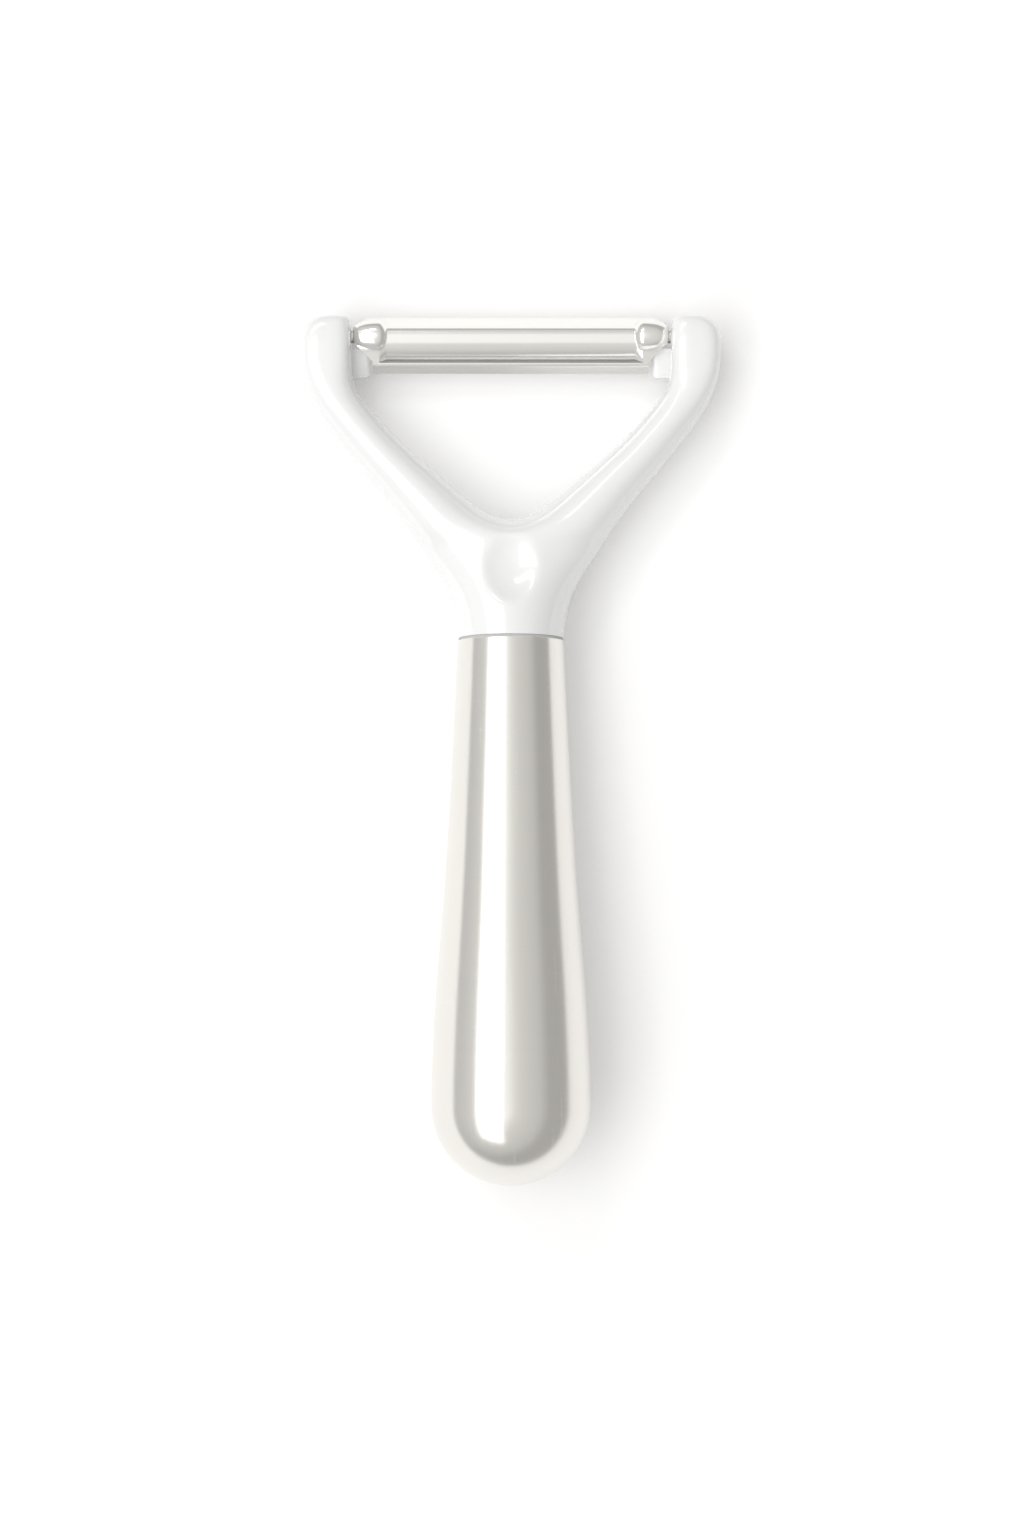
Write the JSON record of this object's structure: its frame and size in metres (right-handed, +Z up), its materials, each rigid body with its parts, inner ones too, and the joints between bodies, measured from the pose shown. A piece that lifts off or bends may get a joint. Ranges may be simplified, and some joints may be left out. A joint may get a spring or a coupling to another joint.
{
  "type": "vegetable peeler",
  "caption": "Y-shaped vegetable peeler: a hollow club-shaped steel handle, a white plastic fork and a pressed steel blade that swivels between its arms.",
  "frame": {"origin": "on the table, under the middle of the peeler's length and width", "axes": "+Z up, +Y along the peeler towards the blade, +X to the right arm seen from above with the blade away"},
  "size_m": [0.0746, 0.1533, 0.0284],
  "materials": {
    "handle_steel": "fine satin polish, grained round the handle",
    "blade_steel": "bright rolled sheet with a ground cutting edge",
    "pin_steel": "turned and lightly polished",
    "white_plastic": "glossy white moulding",
    "seal_rubber": "dark sealing ring",
    "resin": "cast resin, hidden in the handle"
  },
  "bodies": {
    "handle": {"handle_tube": "handle_steel", "handle_end_cap": "handle_steel", "collar_seal": "seal_rubber", "tang_resin": "resin", "head_fork": "white_plastic"},
    "blade": {"peeling_blade": "blade_steel", "left_pivot_pin": "pin_steel", "right_pivot_pin": "pin_steel"}
  },
  "joints": [
    {"name": "blade_swivel", "type": "hinge", "parent": "handle", "child": "blade", "pos_m": [0, 0.07336, 0.00607], "axis": [-1, 0, 0], "range_deg": [0, 90]}
  ]
}
